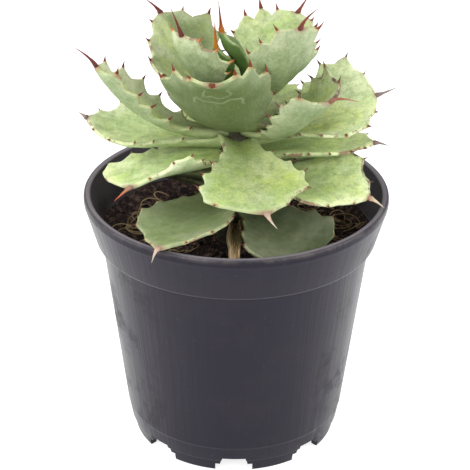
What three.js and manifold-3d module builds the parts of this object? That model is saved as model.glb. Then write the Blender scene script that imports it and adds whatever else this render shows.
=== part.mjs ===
// Potted agave: a rosette of thick, toothed leaves on a short stem, in a tapered nursery pot of soil.
// Millimetres, +Z up. The pot's axis is the Z axis and its feet stand on z = 0; the front is -Y.
import * as THREE from "three";
import { mergeVertices } from "three/addons/utils/BufferGeometryUtils.js";
import Module from "manifold-3d";

const wasm = await Module();
wasm.setup();

const radians = THREE.MathUtils.degToRad;
const mix = THREE.MathUtils.lerp;
const ease = (t) => t * t * (3 - 2 * t);

// ------------------------------------------------------------------ driving dimensions

const clearance = 0.3; // gap kept between pieces that touch

const pot = {
  height: 114,
  rimRadius: 65,
  lip: 3, // width of the rounded top edge
  wall: 1.6,
  collarRadius: 60.2, // outside, at the collar's lower edge
  collarHeight: 20.4,
  shoulderRadius: 57.7, // outside of the body just under the collar
  bandHeight: 13, // top of the slightly stepped band above the feet
  bandRadius: 47.7,
  footTop: 5.4, // height where the feet meet the body
  footRadius: 46.2,
  soleRadius: 44.5,
  soleWidth: 3.2,
  floor: 8, // underside of the floor, above the feet's openings
  notches: 8,
  notchWidth: [16, 10], // at the ground and at the top
  notchHeight: [3.4, 7.2],
  drainRadius: 4,
  drainCircle: 30,
  segments: 54,
};

const soil = { level: 92, flat: 15, lump: 1.6, rings: [15, 25, 35, 46], segments: 26 };

const stem = {
  bottomRadius: 11,
  topRadius: 4.5,
  bottom: 110,
  top: 165,
  inset: [0.6, 1.6], // how far the core stays inside the leaf roots, low down and near the tip
  flare: 1.7,
  sides: 16,
};

// Shape shared by all the leaves.
const blade = {
  base: 0.4, // half width at the root, as a share of the widest half width
  shoulders: [0.68, 0.68], // share of the length where the - side and the + side are widest
  share: [1, 1], // of the half width on the - side and the + side
  thickness: [5.2, 2.4], // along the midrib, at the root and at the tip
  edge: 1.2, // thickness of the margin
  tipHalfWidth: 1.6,
  bow: 0.36, // how strongly the midrib keeps its direction at both ends
  taper: 1.12, // above 1, the outline bulges between the widest place and the tip
  rows: 10,
  columns: [-0.8, -0.42, 0, 0.42, 0.8],
};

// Marginal teeth: a fleshy teat with a hard point on it.
const tooth = {
  count: 5,
  toothed: [0.26, 0.91], // share of the length where the first and the last tooth stand
  sizes: [0.5, 0.75, 1, 1.1, 0.8],
  teat: 4,
  teatHalfBase: 4.4,
  baseRange: [0.5, 1.1], // the teat's base follows its size within these
  point: 2.2,
  pointHalfBase: 0.7,
  steepest: 1.1, // limit of the outline's slope that a teat leans with
  rise: 0.9, // how far the teats turn up towards the inner face
};

const spineShape = { radius: 1.45, sides: 6, rings: [0, 0.12, 0.4, 0.72], shares: [0.9, 1, 0.62, 0.32] };

// The leaves from the lowest to the highest.
//   azimuth, reach, tip: direction of the leaf's tip (0 is +X, -90 the front), its distance from the
//     axis and its height
//   foot: height of the root on the stem, turn: how far round from the tip the root sits
//   lean, tilt: pitch of the midrib at the root and at the tip, veer: turn of the tip's heading
//   width, share, base, shoulders, taper: the outline, where it differs from the common blade
//   roll: twist about the midrib at the tip, raising the + side
//   cup: half angle of the trough across the leaf at the root and at the tip
//   fold: how much more the - side and the + side are folded up towards the tip
//   teat: size of the marginal teeth, toothed, sizes: where they differ from the common tooth
//   spine: length, azimuth and pitch of the end spine
const leaves = [
  { azimuth: -55.5, reach: 53, tip: 100, foot: 107, lean: 0, tilt: -16, width: 45, cup: [55, 10],
    teat: 0.45, spine: [4, -56, 10] },
  { azimuth: 121, reach: 52, tip: 103, foot: 108.5, lean: 5, tilt: -12, width: 41, base: 0.36,
    cup: [45, 8], teat: 0.4, spine: [5, 120, 15] },
  { azimuth: -117.5, reach: 66.5, tip: 116.3, foot: 112.5, lean: 8, tilt: 0, width: 41, share: [1, 1.1],
    roll: 12, cup: [55, 8], teat: 0.45, spine: [6.5, -115, -35] },
  { azimuth: 65, reach: 53, tip: 107, foot: 113, lean: 5, tilt: -12, width: 41, base: 0.36,
    cup: [45, 8], teat: 0.4, spine: [6, 66, 15] },
  { azimuth: -27, reach: 61, tip: 124, foot: 117.5, lean: 15, tilt: -12, width: 46, base: 0.34, roll: 8,
    cup: [45, 10], teat: 0.5, spine: [8.5, -49, -9] },
  { azimuth: 155, reach: 54, tip: 112, foot: 118.5, lean: 5, tilt: -15, width: 42, base: 0.36,
    cup: [45, 5], teat: 0.4, spine: [6, 158, 5] },
  { azimuth: 35, reach: 58, tip: 120, foot: 121.5, lean: 5, tilt: -8, width: 42, base: 0.3,
    cup: [45, 10], teat: 0.5, spine: [7, 35, 0] },
  { azimuth: 98, reach: 57, tip: 115, foot: 124, lean: 3, tilt: -12, width: 42, base: 0.3, cup: [40, 2],
    teat: 0.5, spine: [6, 98, 6] },
  { azimuth: -2, reach: 57.5, tip: 137, foot: 129.5, lean: 12, tilt: 5, width: 44, share: [0.6, 1],
    base: 0.36, roll: -4, cup: [50, 5], teat: 0.6, spine: [6, -20, -4] },
  { azimuth: -147, reach: 51.5, tip: 128, foot: 131.4, lean: 2, tilt: -8, turn: -8, veer: 20, width: 51,
    share: [1, 1.15], base: 0.36, roll: 22, shoulders: [0.85, 0.66], fold: [0.4, 1.8], cup: [12, 25],
    teat: 0.6, spine: [9.6, -131, -17] },
  { azimuth: 126, reach: 56, tip: 128, foot: 130, lean: 2, tilt: -5, width: 41, base: 0.28,
    cup: [40, 5], teat: 0.6, spine: [8, 126, 0] },
  { azimuth: 70, reach: 56, tip: 141, foot: 134.9, lean: 10, tilt: 2, width: 42, base: 0.28,
    cup: [45, 20], teat: 0.7, spine: [8, 70, 10] },
  { azimuth: 177, reach: 63, tip: 145, foot: 136.3, lean: 2, tilt: 30, width: 42, base: 0.28, roll: -5,
    cup: [50, 20], teat: 0.5, spine: [5, 135, 10] },
  { azimuth: -78, reach: 58, tip: 131, foot: 137, lean: 0, tilt: -14, width: 45, share: [1.08, 0.86],
    base: 0.33, shoulders: [0.86, 0.74], cup: [45, 8], teat: 0.5, spine: [10, -66, -11] },
  { azimuth: 4, reach: 58, tip: 156, foot: 137.8, lean: 9, tilt: 15, width: 46, share: [1, 0.93],
    base: 0.29, roll: 26, shoulders: [0.68, 0.8], taper: 1.6, cup: [38, 20], teat: 0.85,
    toothed: [0.35, 0.96], spine: [9.5, -14, 28] },
  { azimuth: -160, reach: 60, tip: 178, foot: 142, lean: 4, tilt: 60, width: 32, share: [0.86, 0.7],
    base: 0.26, roll: -12, shoulders: [0.68, 0.88], fold: [0.8, 1.35], cup: [50, 58], teat: 0.9,
    sizes: [0.5, 0.8, 1.1, 1.3, 1.2], spine: [12.4, -160, 45] },
  { azimuth: -38, reach: 47, tip: 167, foot: 143.5, lean: -3, tilt: 45, width: 46, share: [0.68, 1.12],
    base: 0.24, shoulders: [0.86, 0.78], fold: [1.15, 0.65], cup: [36, 82], teat: 0.9,
    sizes: [0.5, 0.7, 1, 1.1, 1.4], spine: [12, -22, 8] },
  { azimuth: 92, reach: 44, tip: 157, foot: 146, lean: 10, tilt: 30, width: 38, base: 0.34,
    cup: [60, 40], teat: 0.9, spine: [9, 92, 40] },
  { azimuth: -103, reach: 43.5, tip: 179, foot: 147.3, lean: 4, tilt: 22, turn: -6, width: 49,
    share: [0.9, 0.88], base: 0.55, roll: 4, shoulders: [0.66, 0.62], fold: [0.68, 1.25], cup: [5, 72],
    teat: 1.05, toothed: [0.3, 0.92], sizes: [0.5, 0.8, 1.1, 1.2, 1.1], spine: [7, -95, 27] },
  { azimuth: 144, reach: 40, tip: 184, foot: 152, lean: 25, tilt: 50, width: 46, share: [0.8, 1.25],
    base: 0.28, shoulders: [0.74, 0.5], fold: [1.2, 0.3], cup: [42, 26], teat: 1,
    spine: [9.2, 164, 38] },
  { azimuth: -42, reach: 33, tip: 195, foot: 155, lean: 30, tilt: 72, width: 36, share: [0.7, 1.1],
    base: 0.3, roll: -20, shoulders: [0.72, 0.45], fold: [1.7, 0.1], cup: [75, 28], teat: 1,
    toothed: [0.3, 0.9], sizes: [0.35, 0.75, 1.1, 0.9, 1.2], spine: [12.8, -30, 51] },
  { azimuth: -138, reach: 30, tip: 191, foot: 156, lean: 35, tilt: 70, width: 34, share: [0.86, 0.7],
    base: 0.3, roll: 8, cup: [75, 50], teat: 1, spine: [13.5, -144, 68] },
  { azimuth: 50, reach: 39, tip: 182, foot: 158, lean: 30, tilt: 45, width: 44, share: [0.84, 0.85],
    base: 0.28, shoulders: [0.74, 0.58], cup: [80, 35], teat: 1, toothed: [0.3, 0.92],
    sizes: [0.5, 0.8, 1.3, 1.5, 0.9], spine: [9.3, 31, 51] },
  { azimuth: -150, reach: 10, tip: 180, foot: 161.5, lean: 80, tilt: 80, width: 14, cup: [80, 80],
    teat: 0, spine: [12, -160, 87] },
  { azimuth: -145, reach: 8, tip: 187, foot: 164, lean: 80, tilt: 80, turn: 120, veer: 20, width: 14,
    cup: [80, 80], teat: 0, spine: [13, 180, 84] },
];

const dryLeaf = {
  azimuth: -91, reach: 56, tip: 108.5, foot: 103, lean: 8, tilt: 6,
  width: 8, base: 0.9, shoulders: [0.4, 0.5], cup: [100, 70], teat: 0,
};

// ------------------------------------------------------------------ shared shapes

function surfaceOf(positions, faces) {
  const geometry = new THREE.BufferGeometry();
  geometry.setAttribute("position", new THREE.Float32BufferAttribute(positions, 3));
  geometry.setIndex(faces);
  return geometry;
}

// A profile of [radius, height] points turned about the Z axis.
function latheOf(profile, segments) {
  const points = profile.map((point) => new THREE.Vector2(...point));
  return new THREE.LatheGeometry(points, segments).rotateX(Math.PI / 2);
}

function solidOf(geometry) {
  geometry.deleteAttribute("normal");
  geometry.deleteAttribute("uv");
  const merged = mergeVertices(geometry, 1e-4);
  const vertProperties = merged.attributes.position.array;
  const triVerts = new Uint32Array(merged.index.array);
  return new wasm.Manifold(new wasm.Mesh({ numProp: 3, vertProperties, triVerts }));
}

// ------------------------------------------------------------------ leaves

const polar = (r, azimuth, z) => new THREE.Vector3(
  r * Math.cos(radians(azimuth)), r * Math.sin(radians(azimuth)), z);

const heading = (pitch, azimuth) => polar(Math.cos(radians(pitch)), azimuth, Math.sin(radians(pitch)));

// A repeatable scatter between -1 and 1.
function scatter(a, b) {
  const x = Math.sin(a * 12.9898 + b * 78.233) * 43758.5453;
  return 2 * (x - Math.floor(x)) - 1;
}

const stemRadiusAt = (z) => mix(
  stem.bottomRadius, stem.topRadius, (z - stem.bottom) / (stem.top - stem.bottom));

// Half width of the blade without its teeth, from the root (0) to the tip (1).
function halfWidth(leaf, s, side = 0) {
  const half = (leaf.width / 2) * (side === 0 ? 1 : (leaf.share ?? blade.share)[side < 0 ? 0 : 1]);
  const shoulders = leaf.shoulders ?? blade.shoulders;
  const widest = side === 0 ? (shoulders[0] + shoulders[1]) / 2 : shoulders[side < 0 ? 0 : 1];
  if (s < widest) return half * mix(leaf.base ?? blade.base, 1, ease(s / widest));
  const t = Math.min((s - widest) / (1 - widest), 1);
  const narrowing = (1 - t ** (leaf.taper ?? blade.taper)) ** 0.95;
  return mix(Math.min(blade.tipHalfWidth, half), half, narrowing);
}

// The midrib is a cubic curve from the stem to the leaf's tip.
function midribOf(leaf) {
  const rootAzimuth = leaf.azimuth + (leaf.turn ?? 0);
  const start = polar(stemRadiusAt(leaf.foot), rootAzimuth, leaf.foot);
  const end = polar(leaf.reach, leaf.azimuth, leaf.tip);
  const pull = start.distanceTo(end) * blade.bow;
  const leave = start.clone().addScaledVector(heading(leaf.lean, rootAzimuth), pull);
  const arrive = end.clone().addScaledVector(heading(leaf.tilt, leaf.azimuth + (leaf.veer ?? 0)), -pull);
  return new THREE.CubicBezierCurve3(start, leave, arrive, end);
}

// Point at share s of the length, q mm to the side along the trough and lift mm above the middle surface.
function surfacePoint(leaf, midrib, s, q, lift) {
  const along = midrib.getTangent(s);
  const side = new THREE.Vector3(0, 0, 1).cross(along).normalize();
  side.applyAxisAngle(along, radians((leaf.roll ?? 0) * s));
  const up = new THREE.Vector3().crossVectors(along, side);
  const fold = mix(1, leaf.fold ? leaf.fold[q < 0 ? 0 : 1] : 1, s);
  const bend = (fold * radians(mix(leaf.cup[0], leaf.cup[1], s))) / halfWidth(leaf, Math.min(s, 0.7));
  const angle = bend * q;
  return midrib.getPoint(s)
    .addScaledVector(side, Math.sin(angle) / bend - lift * Math.sin(angle))
    .addScaledVector(up, (1 - Math.cos(angle)) / bend + lift * Math.cos(angle));
}

// The margin of one side as points [s, q, rise], with a teat and a point at each tooth.
function marginOf(leaf, index, side, length) {
  const q = (s) => halfWidth(leaf, s, side);
  const points = [[0, q(0), 0]];
  let last = 0;
  for (let i = 0; i < (leaf.teat ? tooth.count : 0); i += 1) {
    const size = leaf.teat * (leaf.sizes ?? tooth.sizes)[i] * (1 + 0.2 * scatter(index + 3 * side, i));
    const half = (tooth.teatHalfBase * THREE.MathUtils.clamp(size, ...tooth.baseRange)) / length;
    const tip = tooth.pointHalfBase / length;
    const even = mix(...(leaf.toothed ?? tooth.toothed), (i / (tooth.count - 1)) ** 0.85);
    const at = Math.min(even + 0.018 * scatter(index + 7 * side, i + 11), 0.97 - half * 0.6);
    const rise = tooth.rise * size;
    const slope = (q(at + tip) - q(at - tip)) / (2 * tip * length);
    const out = 1 / Math.hypot(1, slope); // the teat stands square to the outline
    const ahead = (Math.min(-slope, tooth.steepest) * out) / length;
    const raised = (offset, height, up) => [at + offset + height * ahead, q(at + offset) + height * out, up];
    if (at - half > last + 0.02) points.push([at - half, q(at - half), 0]);
    points.push(raised(-tip, tooth.teat * size, rise));
    points.push(raised(0, (tooth.teat + tooth.point) * size, rise * 1.6));
    points.push(raised(tip, tooth.teat * size, rise));
    last = Math.min(at + half, 0.985);
    points.push([last, q(last), 0]);
  }
  if (!leaf.teat) for (const s of [0.25, 0.5, 0.75]) points.push([s, q(s), 0]);
  points.push([1, q(1), 0]);
  return points;
}

// Both skins share one layout: an inner grid, and a strip zipping it to the finer margin on each side.
function leafGeometry(leaf, index) {
  const midrib = midribOf(leaf);
  const { rows, columns } = blade;
  const length = midrib.getLength();
  const margins = [-1, 1].map((side) => marginOf(leaf, index, side, length));
  const positions = [];
  const faces = [];
  const put = (s, q, lift) => positions.push(...surfacePoint(leaf, midrib, s, q, lift)) / 3 - 1;
  const thickness = (s, u) => mix(blade.edge, mix(...blade.thickness, s), (1 - u * u) ** 0.8);
  const outlines = [1, -1].map((skin) => {
    const face = (a, b, c, turned) => faces.push(...(turned === (skin > 0) ? [a, c, b] : [a, b, c]));
    const grid = [];
    for (let i = 0; i <= rows; i += 1) {
      const s = i / rows;
      const half = (u) => halfWidth(leaf, s, Math.sign(u));
      grid.push(columns.map((u) => put(s, u * half(u), (skin * thickness(s, u)) / 2)));
    }
    const edges = [-1, 1].map((side, k) => margins[k].map(
      ([s, q, rise]) => put(s, side * q, rise + (skin * blade.edge) / 2)));
    for (let i = 0; i < rows; i += 1) {
      for (let j = 0; j < columns.length - 1; j += 1) {
        face(grid[i][j], grid[i + 1][j], grid[i + 1][j + 1], false);
        face(grid[i][j], grid[i + 1][j + 1], grid[i][j + 1], false);
      }
    }
    edges.forEach((edge, k) => {
      const column = grid.map((row) => row[k === 0 ? 0 : columns.length - 1]);
      let i = 0;
      let m = 0;
      while (i < rows || m < edge.length - 1) {
        const nextEdge = m < edge.length - 1 ? margins[k][m + 1][0] : 2;
        if (nextEdge <= (i < rows ? (i + 1) / rows : 2)) {
          face(column[i], edge[m], edge[m + 1], k === 1);
          m += 1;
        } else {
          face(column[i], edge[m], column[i + 1], k === 1);
          i += 1;
        }
      }
    });
    return [...edges[0], ...grid[rows], ...edges[1].reverse(), ...grid[0].reverse()];
  });
  const [inner, outer] = outlines;
  inner.forEach((a, i) => {
    const j = (i + 1) % inner.length;
    faces.push(a, outer[j], inner[j], a, outer[i], outer[j]);
  });
  return surfaceOf(positions, faces);
}

// A spine tapers to a point, leaving the leaf along its midrib and bending to its own heading.
function spineGeometry(leaf) {
  const [length, azimuth, pitch] = leaf.spine;
  const midrib = midribOf(leaf);
  const along = midrib.getTangent(1);
  const start = midrib.getPoint(1).addScaledVector(along, clearance);
  const end = start.clone().addScaledVector(heading(pitch, azimuth), length);
  const leave = start.clone().addScaledVector(along, length * 0.35);
  const curve = new THREE.QuadraticBezierCurve3(start, leave, end);
  const { sides, rings, shares } = spineShape;
  const radius = spineShape.radius;
  const positions = [...start];
  const faces = [];
  rings.forEach((t, k) => {
    const ahead = curve.getTangent(t);
    const side = new THREE.Vector3(0, 0, 1).cross(ahead).normalize();
    const up = new THREE.Vector3().crossVectors(ahead, side);
    for (let i = 0; i < sides; i += 1) {
      const angle = (2 * Math.PI * i) / sides;
      positions.push(...curve.getPoint(t)
        .addScaledVector(side, radius * shares[k] * Math.cos(angle))
        .addScaledVector(up, radius * shares[k] * 0.8 * Math.sin(angle)));
    }
  });
  positions.push(...end);
  const last = 1 + rings.length * sides;
  for (let i = 0; i < sides; i += 1) {
    const j = (i + 1) % sides;
    faces.push(0, 1 + j, 1 + i);
    for (let k = 0; k < rings.length - 1; k += 1) {
      const a = 1 + k * sides;
      faces.push(a + i, a + j, a + sides + j, a + i, a + sides + j, a + sides + i);
    }
    faces.push(last - sides + i, last - sides + j, last);
  }
  return surfaceOf(positions, faces);
}

// ------------------------------------------------------------------ pot, soil and stem

// Outer radius of the pot's tapered body below the collar.
const bodyRadiusAt = (z) => mix(
  pot.bandRadius, pot.shoulderRadius,
  (z - pot.bandHeight) / (pot.height - pot.collarHeight - pot.bandHeight));

function potGeometry() {
  const p = pot;
  const collar = p.height - p.collarHeight;
  const profile = [
    [0, p.floor], [p.soleRadius - p.soleWidth, p.floor], [p.soleRadius - p.soleWidth, 0],
    [p.soleRadius, 0], [p.footRadius - 0.9, p.footTop], [p.footRadius, p.footTop + 0.3],
    [p.bandRadius - 0.25, p.bandHeight - 0.3], [p.bandRadius, p.bandHeight + 0.3],
    [p.shoulderRadius, collar], [p.collarRadius - 0.4, collar], [p.collarRadius, collar + 0.6],
    [p.rimRadius - 0.3, p.height - 3], [p.rimRadius, p.height - 1.6], [p.rimRadius - 0.9, p.height],
    [p.rimRadius - p.lip + 0.8, p.height], [p.rimRadius - p.lip, p.height - 1.2],
    [p.collarRadius - p.wall, collar + p.wall], [p.shoulderRadius - p.wall, collar - p.wall],
    [bodyRadiusAt(p.floor + p.wall) - p.wall, p.floor + p.wall], [0, p.floor + p.wall],
  ];
  const [low, high] = p.notchHeight;
  const [wide, narrow] = p.notchWidth.map((w) => w / 2);
  const opening = new THREE.Shape([
    [-wide, -1], [wide, -1], [wide, low], [narrow + 1, low], [narrow, high], [-narrow, high],
    [-narrow - 1, low], [-wide, low],
  ].map((point) => new THREE.Vector2(...point)));
  let body = solidOf(latheOf(profile, p.segments));
  for (let i = 0; i < p.notches; i += 1) {
    const turn = (2 * Math.PI * i) / p.notches;
    const notch = new THREE.ExtrudeGeometry(opening, { depth: 14, bevelEnabled: false });
    notch.rotateX(Math.PI / 2).translate(0, 8 - p.soleRadius, 0).rotateZ(turn);
    const drain = new THREE.CylinderGeometry(p.drainRadius, p.drainRadius, 4, 12);
    drain.rotateX(Math.PI / 2).translate(0, -p.drainCircle, p.floor + 1).rotateZ(turn + Math.PI / p.notches);
    body = body.subtract(solidOf(notch)).subtract(solidOf(drain));
  }
  const mesh = body.getMesh();
  return surfaceOf([...mesh.vertProperties], [...mesh.triVerts]);
}

function soilGeometry() {
  const { level, flat, lump, rings, segments } = soil;
  const inset = pot.wall + clearance;
  const bottom = pot.floor + pot.wall + clearance;
  const positions = [0, 0, level, 0, 0, bottom];
  const faces = [];
  const edge = bodyRadiusAt(level) - inset - 0.3;
  [...rings, edge, bodyRadiusAt(bottom) - inset - 0.3].forEach((r, k) => {
    for (let i = 0; i < segments; i += 1) {
      const angle = (2 * Math.PI * i) / segments;
      const rough = r > flat && k <= rings.length ? lump * scatter(i + 0.5, k + 2) : 0;
      const z = k > rings.length ? bottom : level + rough * (r < edge ? 1 : 0.5);
      positions.push(r * Math.cos(angle), r * Math.sin(angle), z);
    }
  });
  const ring = (k, i) => 2 + k * segments + (i % segments);
  for (let i = 0; i < segments; i += 1) {
    faces.push(0, ring(0, i), ring(0, i + 1));
    for (let k = 0; k <= rings.length; k += 1) {
      faces.push(ring(k, i), ring(k + 1, i), ring(k + 1, i + 1));
      faces.push(ring(k, i), ring(k + 1, i + 1), ring(k, i + 1));
    }
    faces.push(1, ring(rings.length + 1, i + 1), ring(rings.length + 1, i));
  }
  return surfaceOf(positions, faces);
}

// The stem stands on the soil and narrows up through the leaf roots to a blunt growing tip.
function stemGeometry() {
  const foot = soil.level + clearance;
  const lowestRoot = dryLeaf.foot;
  const tip = stem.top - 1.6;
  const coreAt = (z, inset) => [stemRadiusAt(Math.max(z, lowestRoot)) - inset, z];
  const [low, high] = stem.inset;
  const side = [coreAt(foot + 5, low), coreAt(lowestRoot, low), coreAt(147, low), coreAt(159, high)];
  const profile = [[0, foot], [side[0][0] - stem.flare, foot], ...side, [stem.flare, tip], [0, tip]];
  return latheOf(profile, stem.sides);
}

// ------------------------------------------------------------------ assembly


const root = new THREE.Group();

function add(name, geometry, color, roughness) {
  const material = new THREE.MeshStandardMaterial({ color, roughness, metalness: 0 });
  const mesh = new THREE.Mesh(geometry, material);
  mesh.name = name;
  root.add(mesh);
}

add("pot", potGeometry(), 0x36343c, 0.45);
add("soil", soilGeometry(), 0x2e211a, 0.95);
add("stem", stemGeometry(), 0xa8b48a, 0.7);
add("dry_leaf", leafGeometry(dryLeaf, 0), 0x8a6f4e, 0.9);
leaves.forEach((leaf, i) => {
  const number = String(i + 1).padStart(2, "0");
  const young = leaf.foot > 160;
  add(`leaf_${number}`, leafGeometry(leaf, i + 1), young ? 0x6f9a5c : 0x9fb782, 0.6);
  add(`spine_${number}`, spineGeometry(leaf), leaf.foot > 140 ? 0x7a2f26 : 0xb09a84, 0.5);
});

export default root;
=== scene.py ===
import math
import random

import bmesh
import bpy
import numpy as np
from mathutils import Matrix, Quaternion, Vector, noise


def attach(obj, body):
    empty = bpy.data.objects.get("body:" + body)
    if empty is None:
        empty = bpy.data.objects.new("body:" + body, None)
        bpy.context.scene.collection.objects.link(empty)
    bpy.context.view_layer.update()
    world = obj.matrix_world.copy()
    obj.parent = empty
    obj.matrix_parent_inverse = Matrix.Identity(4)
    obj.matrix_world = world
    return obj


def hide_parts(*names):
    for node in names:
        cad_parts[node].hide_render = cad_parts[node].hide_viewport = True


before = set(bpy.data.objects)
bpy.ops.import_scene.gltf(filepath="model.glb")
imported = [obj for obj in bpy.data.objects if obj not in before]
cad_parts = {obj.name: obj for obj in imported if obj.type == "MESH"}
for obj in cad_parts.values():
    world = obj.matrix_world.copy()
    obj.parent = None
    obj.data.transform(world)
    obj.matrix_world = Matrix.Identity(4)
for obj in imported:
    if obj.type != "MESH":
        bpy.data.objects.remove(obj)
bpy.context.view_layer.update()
mm = 0.001  # shapes are reckoned in millimetres and made in metres
print("frame loaded:", len(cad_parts), "nodes")


# small helpers for shader nodes

def place(tree, kind, inputs=None, **settings):
    made = tree.nodes.new(kind)
    for name, value in settings.items():
        setattr(made, name, value)
    for name, value in (inputs or {}).items():
        socket = made.inputs[name]
        if isinstance(value, bpy.types.NodeSocket):
            tree.links.new(value, socket)
        else:
            socket.default_value = value
    return made


def calc(operation, a, b=0.0, clamp=False):  # a is a socket, and so names the tree that the sum goes in
    made = place(a.id_data, "ShaderNodeMath", {0: a, 1: b}, operation=operation, use_clamp=clamp)
    return made.outputs[0]


def times(a, b, clamp=False):
    return calc("MULTIPLY", a, b, clamp)


def plus(a, b):
    return calc("ADD", a, b)


def minus(a, b):
    return calc("SUBTRACT", a, b)


def span(value, low, high, start=0.0, end=1.0):  # a smooth step from low to high
    made = place(value.id_data, "ShaderNodeMapRange",
                 {"Value": value, "From Min": low, "From Max": high, "To Min": start, "To Max": end},
                 interpolation_type="SMOOTHSTEP")
    return made.outputs[0]


def blend(share, a, b):
    a, b = ((*value, 1) if isinstance(value, tuple) else value for value in (a, b))
    made = place(share.id_data, "ShaderNodeMix", {0: share, 6: a, 7: b}, data_type="RGBA")
    return made.outputs[2]


def layered(colour, palette, layers):  # each layer is a share and the name of a colour to lay on
    for share, name in layers:
        colour = blend(share, colour, palette[name])
    return colour


def reading(tree, name):
    return place(tree, "ShaderNodeAttribute", attribute_name=name).outputs["Fac"]


def objectPlace(tree):
    return place(tree, "ShaderNodeTexCoord").outputs["Object"]


def surfacePlace(tree):
    return place(tree, "ShaderNodeUVMap", uv_map="metric").outputs[0]


def cloud(vector, scale, detail=3.0, roughness=0.55, distortion=0.0):
    made = place(vector.id_data, "ShaderNodeTexNoise",
                 {"Vector": vector, "Scale": scale, "Detail": detail, "Roughness": roughness,
                  "Distortion": distortion})
    return made.outputs["Fac"]


def newGroup(name, output, **inputs):  # a shared effect: a place and some numbers in, one value out
    tree = bpy.data.node_groups.new(name, "ShaderNodeTree")
    tree.interface.new_socket(name="Vector", in_out="INPUT", socket_type="NodeSocketVector")
    for label, value in inputs.items():
        socket = tree.interface.new_socket(name=label, in_out="INPUT", socket_type="NodeSocketFloat")
        socket.default_value = value
    tree.interface.new_socket(name=output, in_out="OUTPUT", socket_type="NodeSocketFloat")
    return tree, tree.nodes.new("NodeGroupInput").outputs, tree.nodes.new("NodeGroupOutput").inputs


def effect(group, vector, **values):  # one of the shared effects, with a material's own values
    made = place(vector.id_data, "ShaderNodeGroup", {"Vector": vector, **values}, node_tree=group)
    return made.outputs[0]


def newMaterial(name, **fixed):
    material = bpy.data.materials.new(name)
    material.use_nodes = True
    shader = material.node_tree.nodes["Principled BSDF"].inputs
    for label, value in fixed.items():
        shader[label.replace("_", " ")].default_value = value
    return material, material.node_tree


def finishMaterial(material, colour, roughness, height, strength, distance):
    tree = material.node_tree
    shader = tree.nodes["Principled BSDF"].inputs
    tree.links.new(colour, shader["Base Color"])
    tree.links.new(roughness, shader["Roughness"])
    bump = place(tree, "ShaderNodeBump", {"Height": height, "Strength": strength, "Distance": distance})
    tree.links.new(bump.outputs["Normal"], shader["Normal"])
    return material


# effects shared by several materials

def makePatches():  # soft blotches with a broken edge: wax bloom, dust, dirt
    tree, given, out = newGroup("patches", "Mask", Scale=60.0, Low=0.4, High=0.65)
    broad = cloud(given["Vector"], given["Scale"], 4.0, 0.6, 0.4)
    fine = cloud(given["Vector"], times(given["Scale"], 9.0), 2.0)
    both = plus(times(broad, 0.8), times(fine, 0.2))
    tree.links.new(span(both, given["Low"], given["High"]), out["Mask"])
    return tree


def makeFlecks():  # small scattered specks
    tree, given, out = newGroup("flecks", "Mask", Scale=300.0, Size=0.2, Share=0.3)
    cells = place(tree, "ShaderNodeTexVoronoi", {"Vector": given["Vector"], "Scale": given["Scale"]})
    near = span(cells.outputs["Distance"], given["Size"], times(given["Size"], 0.4))
    pick = place(tree, "ShaderNodeSeparateColor", {"Color": cells.outputs["Color"]}).outputs[0]
    chosen = calc("LESS_THAN", pick, given["Share"])
    tree.links.new(times(near, chosen), out["Mask"])
    return tree


def makeStreaks():  # lines that run with the first direction of the vector, for fibres and moulding flow
    tree, given, out = newGroup("streaks", "Value", Scale=1000.0, Stretch=0.04)
    parts = place(tree, "ShaderNodeSeparateXYZ", {"Vector": given["Vector"]})
    squeezed = times(parts.outputs["X"], given["Stretch"])
    joined = place(tree, "ShaderNodeCombineXYZ", {"X": squeezed, "Y": parts.outputs["Y"],
                                                  "Z": parts.outputs["Z"]})
    tree.links.new(cloud(joined.outputs[0], given["Scale"], 4.0, 0.6, 0.2), out["Value"])
    return tree


patches = makePatches()
flecks = makeFlecks()
streaks = makeStreaks()


# mesh helpers

def meshObject(name, points, faces, material, readings=None, metric=None):
    mesh = bpy.data.meshes.new(name)
    mesh.from_pydata(np.asarray(points).tolist(), [], faces)
    for label, values in (readings or {}).items():
        layer = mesh.attributes.new(label, "FLOAT", "POINT")
        layer.data.foreach_set("value", np.asarray(values, np.float32))
    if metric is not None:
        layer = mesh.uv_layers.new(name="metric")
        corner = np.empty(len(mesh.loops), np.int32)
        mesh.loops.foreach_get("vertex_index", corner)
        layer.data.foreach_set("uv", np.asarray(metric, np.float32)[corner].ravel())
    outward = bmesh.new()
    outward.from_mesh(mesh)
    bmesh.ops.recalc_face_normals(outward, faces=outward.faces)
    outward.to_mesh(mesh)
    outward.free()
    mesh.polygons.foreach_set("use_smooth", np.ones(len(mesh.polygons), bool))
    piece = bpy.data.objects.new(name, mesh)
    bpy.context.scene.collection.objects.link(piece)
    mesh.materials.append(material)
    return piece


def turnOf(sides):  # evenly spaced angles round a full turn
    return np.linspace(0, 2 * math.pi, sides, endpoint=False)


def tubeFaces(rings, sides):  # quads between rings of points, and a cap at each end
    faces = []
    for k in range(rings - 1):
        for i in range(sides):
            j = (i + 1) % sides
            faces.append((k * sides + i, k * sides + j, (k + 1) * sides + j, (k + 1) * sides + i))
    return faces + [tuple(range(sides))[::-1], tuple((rings - 1) * sides + i for i in range(sides))]


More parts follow.
